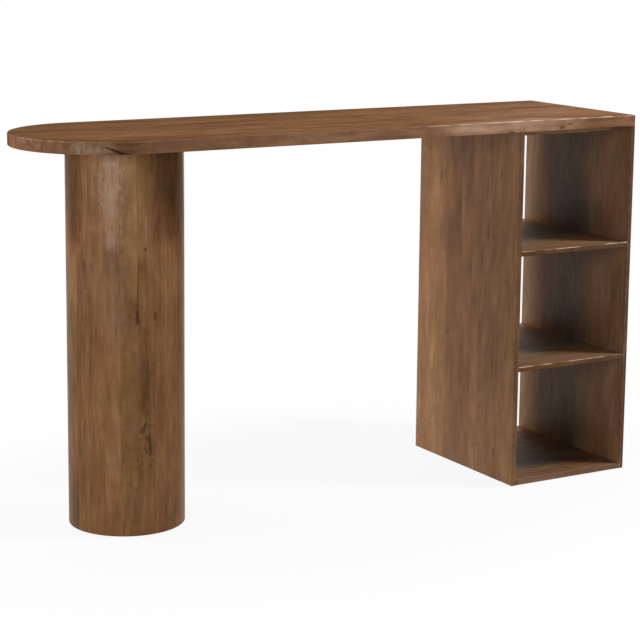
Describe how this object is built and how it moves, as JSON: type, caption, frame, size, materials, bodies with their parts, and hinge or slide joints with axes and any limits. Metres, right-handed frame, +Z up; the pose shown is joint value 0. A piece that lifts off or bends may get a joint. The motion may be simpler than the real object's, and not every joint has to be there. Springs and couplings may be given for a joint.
{
  "type": "bar table",
  "caption": "Tall wooden bar table: board top with one half-round end, on a staved drum leg and an open-sided shelf cabinet.",
  "frame": {"origin": "on the floor, under the middle of the table's length and width", "axes": "+X along the top from the round end to the shelf cabinet, +Y from the front to the back, +Z up"},
  "size_m": [1.7999, 0.5, 1.05],
  "materials": {
    "top_wood": "satin lacquered brown hardwood boards, grain along the length",
    "drum_wood": "satin lacquered brown hardwood staves, upright grain",
    "cabinet_wood": "satin lacquered brown hardwood boards",
    "plywood": "raw plywood",
    "dowel_wood": "raw beech",
    "zinc_steel": "zinc plated",
    "insert_brass": "plain",
    "nylon": "moulded, dark brown"
  },
  "bodies": {
    "table": {"top_board_1": "top_wood", "top_board_2": "top_wood", "top_board_3": "top_wood", "top_board_4": "top_wood", "top_board_5": "top_wood", "top_board_6": "top_wood", "top_board_7": "top_wood", "drum_stave_01": "drum_wood", "drum_stave_02": "drum_wood", "drum_stave_03": "drum_wood", "drum_stave_04": "drum_wood", "drum_stave_05": "drum_wood", "drum_stave_06": "drum_wood", "drum_stave_07": "drum_wood", "drum_stave_08": "drum_wood", "drum_stave_09": "drum_wood", "drum_stave_10": "drum_wood", "drum_stave_11": "drum_wood", "drum_stave_12": "drum_wood", "drum_stave_13": "drum_wood", "drum_stave_14": "drum_wood", "drum_stave_15": "drum_wood", "drum_stave_16": "drum_wood", "drum_stave_17": "drum_wood", "drum_stave_18": "drum_wood", "drum_stave_19": "drum_wood", "drum_stave_20": "drum_wood", "drum_stave_21": "drum_wood", "drum_stave_22": "drum_wood", "drum_top_disc": "plywood", "drum_middle_disc": "plywood", "drum_bottom_disc": "plywood", "left_side_panel": "cabinet_wood", "right_side_panel": "cabinet_wood", "bottom_panel": "cabinet_wood", "lower_shelf": "cabinet_wood", "upper_shelf": "cabinet_wood", "front_top_rail": "cabinet_wood", "back_top_rail": "cabinet_wood", "top_dowels": "dowel_wood", "shelf_dowels": "dowel_wood", "rail_dowels": "dowel_wood", "drum_dowels": "dowel_wood", "tie_rod": "zinc_steel", "rod_washer": "zinc_steel", "rod_nut": "zinc_steel", "rail_bolts": "zinc_steel", "rail_washers": "zinc_steel", "glide_nails": "zinc_steel", "tee_nuts": "zinc_steel", "rod_insert": "insert_brass", "rail_inserts": "insert_brass", "cabinet_glides": "nylon"},
    "leveler_foot_1": {"leveler_pad_1": "nylon"},
    "leveler_screw_1": {"leveler_stem_1": "zinc_steel"},
    "leveler_foot_2": {"leveler_pad_2": "nylon"},
    "leveler_screw_2": {"leveler_stem_2": "zinc_steel"},
    "leveler_foot_3": {"leveler_pad_3": "nylon"},
    "leveler_screw_3": {"leveler_stem_3": "zinc_steel"}
  },
  "joints": [
    {"name": "leveler_travel_1", "type": "slide", "parent": "table", "child": "leveler_foot_1", "axis": [0, 0, -1], "range_m": [0, 0.01]},
    {"name": "leveler_turn_1", "type": "hinge", "parent": "leveler_foot_1", "child": "leveler_screw_1", "pos_m": [-0.505, 0, 0.04], "axis": [0, 0, -1], "range_deg": [0, 2880]},
    {"name": "leveler_travel_2", "type": "slide", "parent": "table", "child": "leveler_foot_2", "axis": [0, 0, -1], "range_m": [0, 0.01]},
    {"name": "leveler_turn_2", "type": "hinge", "parent": "leveler_foot_2", "child": "leveler_screw_2", "pos_m": [-0.64, 0.07794, 0.04], "axis": [0, 0, -1], "range_deg": [0, 2880]},
    {"name": "leveler_travel_3", "type": "slide", "parent": "table", "child": "leveler_foot_3", "axis": [0, 0, -1], "range_m": [0, 0.01]},
    {"name": "leveler_turn_3", "type": "hinge", "parent": "leveler_foot_3", "child": "leveler_screw_3", "pos_m": [-0.64, -0.07794, 0.04], "axis": [0, 0, -1], "range_deg": [0, 2880]}
  ],
  "couplings": [
    {"joint": "leveler_turn_1", "follows": "leveler_travel_1", "rad_per_m": 5026.5},
    {"joint": "leveler_turn_2", "follows": "leveler_travel_2", "rad_per_m": 5026.5},
    {"joint": "leveler_turn_3", "follows": "leveler_travel_3", "rad_per_m": 5026.5}
  ]
}
